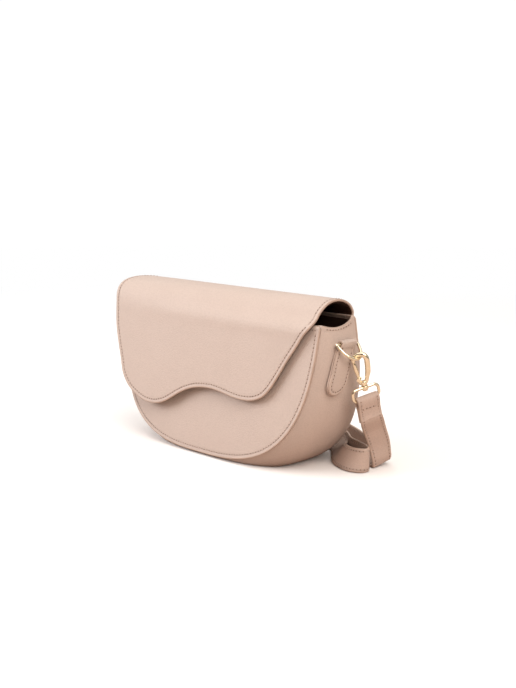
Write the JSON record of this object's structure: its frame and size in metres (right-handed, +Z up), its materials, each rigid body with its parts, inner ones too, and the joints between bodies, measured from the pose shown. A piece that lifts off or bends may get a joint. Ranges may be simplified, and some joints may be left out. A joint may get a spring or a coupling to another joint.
{
  "type": "shoulder bag",
  "caption": "Saddle-shaped shoulder bag with a wave-edged flap over a bellied gusset, side tabs with rings, and a flat strap clipped on by swivel snap hooks.",
  "frame": {"origin": "middle of the flat underside of the gusset, on the surface that the bag stands on", "axes": "+X to the right along the width as seen from the front, -Y out of the front where the flap's free edge lies, +Z up"},
  "size_m": [0.3084, 0.1451, 0.1483],
  "materials": {
    "leather_body": "fine-grained blush beige leather, satin",
    "leather_tab": "the same leather, folded and stitched",
    "leather_strap": "two plies of the same leather with painted edges, satin",
    "lining": "dark brown woven lining, matt",
    "gold": "pale gold plating, polished",
    "snap_steel": "plain nickel-plated steel, satin"
  },
  "bodies": {
    "bag": {"front_panel": "leather_body", "back_panel": "leather_body", "gusset": "leather_body", "front_lining": "lining", "back_lining": "lining", "gusset_lining": "lining", "slip_pocket": "lining", "snap_socket": "snap_steel", "snap_washer": "snap_steel", "tab_right": "leather_tab", "tab_left": "leather_tab", "strap": "leather_strap"},
    "flap": {"flap": "leather_body", "flap_lining": "lining", "snap_stud": "snap_steel"},
    "ring_right": {"ring_right": "gold"},
    "hook_right": {"hook_right": "gold", "gate_pin_right": "gold"},
    "gate_right": {"hook_gate_right": "gold"},
    "swivel_right": {"swivel_loop_right": "gold"},
    "ring_left": {"ring_left": "gold"},
    "hook_left": {"hook_left": "gold", "gate_pin_left": "gold"},
    "gate_left": {"hook_gate_left": "gold"},
    "swivel_left": {"swivel_loop_left": "gold"}
  },
  "joints": [
    {"name": "flap_hinge", "type": "hinge", "parent": "bag", "child": "flap", "pos_m": [0, 0.02706, 0.1253], "axis": [-1, 0, 0], "range_deg": [0, 150]},
    {"name": "ring_right_swing", "type": "hinge", "parent": "bag", "child": "ring_right", "pos_m": [0.1339, 0.0008, 0.1128], "axis": [0, -1, 0], "range_deg": [-3, 30], "deforming": ["strap"]},
    {"name": "hook_right_tilt", "type": "hinge", "parent": "ring_right", "child": "hook_right", "pos_m": [0.14526, 0.0036, 0.10144], "axis": [0.2264, -0.9473, -0.2264], "range_deg": [-5, 5], "deforming": ["strap"]},
    {"name": "hook_gate_right_open", "type": "hinge", "parent": "hook_right", "child": "gate_right", "pos_m": [0.14326, 0.00634, 0.08284], "axis": [-0.5903, 0.7871, 0.1791], "range_deg": [0, 18], "stiffness_Nm_per_rad": 0.003, "springref_deg": -9.74},
    {"name": "swivel_right_turn", "type": "hinge", "parent": "hook_right", "child": "swivel_right", "pos_m": [0.14526, 0.0036, 0.10144], "axis": [-0.04, -0.2501, 0.9674], "range_deg": [-12, 12], "deforming": ["strap"]},
    {"name": "ring_left_swing", "type": "hinge", "parent": "bag", "child": "ring_left", "pos_m": [-0.1339, 0.0008, 0.1128], "axis": [0, 1, 0], "range_deg": [-3, 30], "deforming": ["strap"]},
    {"name": "hook_left_tilt", "type": "hinge", "parent": "ring_left", "child": "hook_left", "pos_m": [-0.14526, 0.0036, 0.10144], "axis": [0.2264, 0.9473, 0.2264], "range_deg": [-5, 5], "deforming": ["strap"]},
    {"name": "hook_gate_left_open", "type": "hinge", "parent": "hook_left", "child": "gate_left", "pos_m": [-0.14326, 0.00634, 0.08284], "axis": [-0.5903, -0.7871, -0.1791], "range_deg": [0, 18], "stiffness_Nm_per_rad": 0.003, "springref_deg": -9.74},
    {"name": "swivel_left_turn", "type": "hinge", "parent": "hook_left", "child": "swivel_left", "pos_m": [-0.14526, 0.0036, 0.10144], "axis": [-0.04, 0.2501, -0.9674], "range_deg": [-12, 12], "deforming": ["strap"]}
  ]
}
